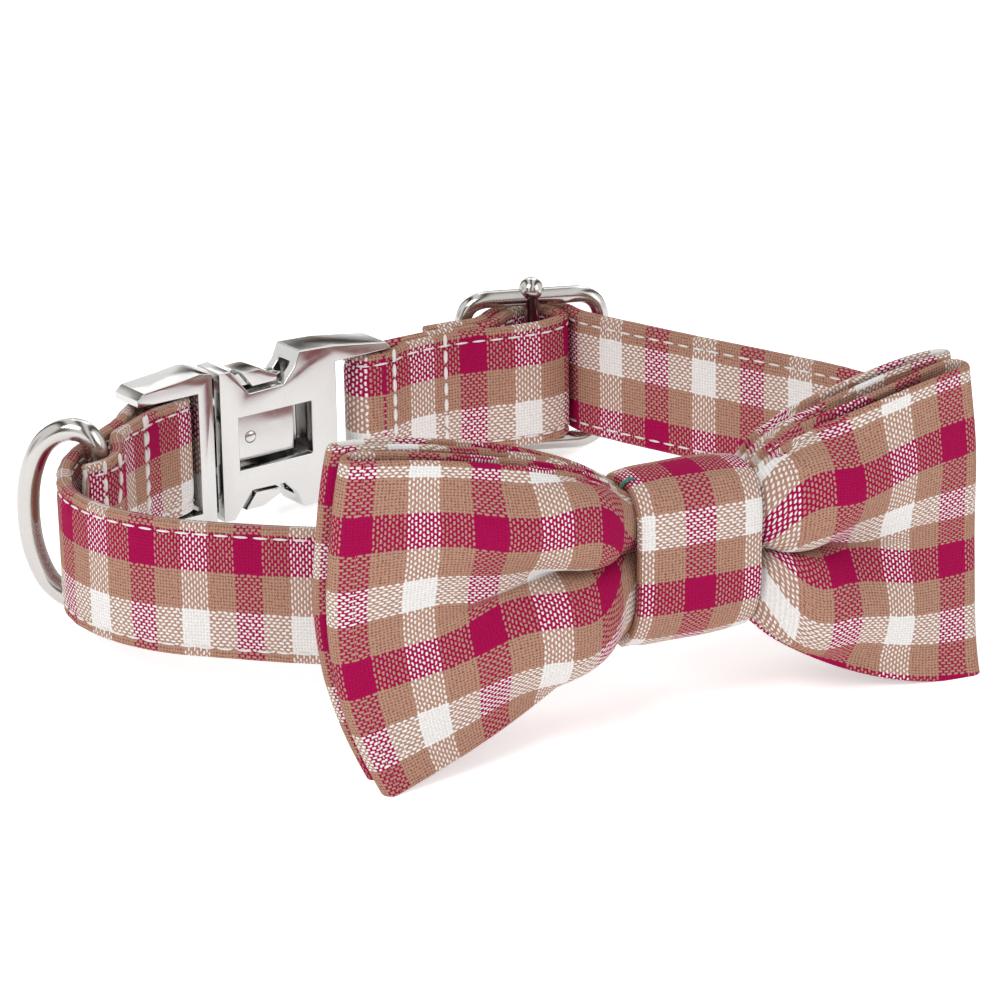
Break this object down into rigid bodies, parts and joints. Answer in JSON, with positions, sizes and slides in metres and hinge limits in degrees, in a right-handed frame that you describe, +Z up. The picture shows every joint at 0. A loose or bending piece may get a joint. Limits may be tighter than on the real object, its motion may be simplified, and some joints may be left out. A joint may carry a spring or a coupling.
{
  "type": "dog collar",
  "caption": "Plaid cloth dog collar with a two-layer bow tie, a metal side-release buckle, a wire slider and a D-ring for the leash, standing on its edge.",
  "frame": {"origin": "middle of the footprint, on the surface the collar stands on", "axes": "+X to the right of the bow seen from its front, +Z up; the bow faces -Y, turned about 23 degrees towards +X"},
  "size_m": [0.1719, 0.1665, 0.0556],
  "materials": {
    "strap": "woven plaid",
    "bow": "woven plaid",
    "metal": "polished"
  },
  "bodies": {
    "collar": {"main_strap": "strap", "buckle_strap": "strap", "bow_loop": "strap", "buckle_male": "metal", "buckle_female": "metal", "slider": "metal", "bow_front": "bow", "bow_back": "bow", "bow_knot": "bow"},
    "ring": {"d_ring": "metal"}
  },
  "joints": [
    {"name": "ring_swing", "type": "hinge", "parent": "collar", "child": "ring", "pos_m": [-0.07094, -0.00655, 0.01883], "axis": [-0.0168, 0.0409, 0.999], "range_deg": [-42, 42]}
  ]
}
